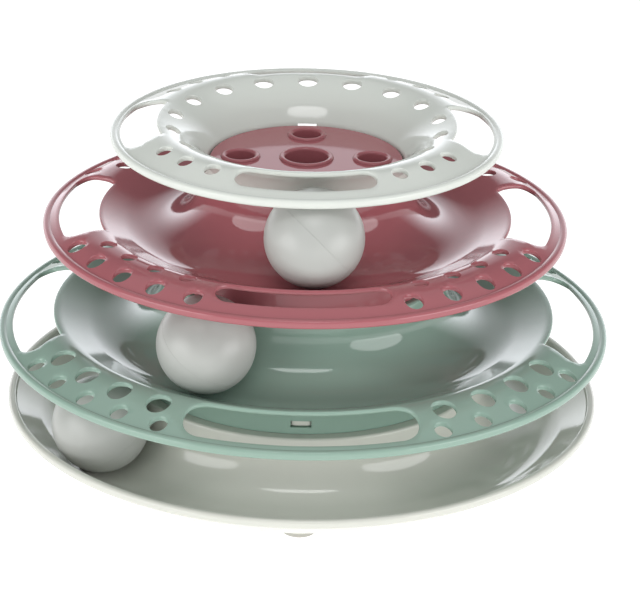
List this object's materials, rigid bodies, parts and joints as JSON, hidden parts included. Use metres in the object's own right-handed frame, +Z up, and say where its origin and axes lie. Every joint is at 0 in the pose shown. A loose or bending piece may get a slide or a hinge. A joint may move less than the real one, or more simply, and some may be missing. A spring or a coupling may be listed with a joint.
{
  "type": "cat ball track toy",
  "caption": "Stacked round track tower for cats: snap-together plastic tiers with pierced flanges, and a hollow ball that rolls round each track.",
  "frame": {"origin": "on the floor under the middle of the tower", "axes": "+Z up along the tower's axis, +X to the right and -Y towards the viewer in the picture"},
  "size_m": [0.25, 0.25, 0.1366],
  "materials": {
    "base_plastic": "gloss, pale grey-green",
    "green_plastic": "gloss, mint green",
    "red_plastic": "gloss, berry red",
    "pale_plastic": "gloss, pale grey",
    "foot_rubber": "matt, dark",
    "ball_plastic": "satin, off-white"
  },
  "bodies": {
    "tower": {"base_tray": "base_plastic", "lower_track": "green_plastic", "middle_track": "red_plastic", "top_ring": "pale_plastic", "foot_pad_right": "foot_rubber", "foot_pad_back": "foot_rubber", "foot_pad_left": "foot_rubber", "foot_pad_front": "foot_rubber"},
    "ball_low": {"ball_low_half_a": "ball_plastic", "ball_low_half_b": "ball_plastic"},
    "ball_mid": {"ball_mid_half_a": "ball_plastic", "ball_mid_half_b": "ball_plastic"},
    "ball_high": {"ball_high_half_a": "ball_plastic", "ball_high_half_b": "ball_plastic"}
  },
  "joints": [
    {"name": "ball_low_roll", "type": "hinge", "parent": "tower", "child": "ball_low", "pos_m": [0, 0, 0.0253], "axis": [0, 0, 1], "continuous": true},
    {"name": "ball_mid_roll", "type": "hinge", "parent": "tower", "child": "ball_mid", "pos_m": [0, 0, 0.0683], "axis": [0, 0, 1], "continuous": true},
    {"name": "ball_high_roll", "type": "hinge", "parent": "tower", "child": "ball_high", "pos_m": [0, 0, 0.1113], "axis": [0, 0, 1], "continuous": true}
  ]
}
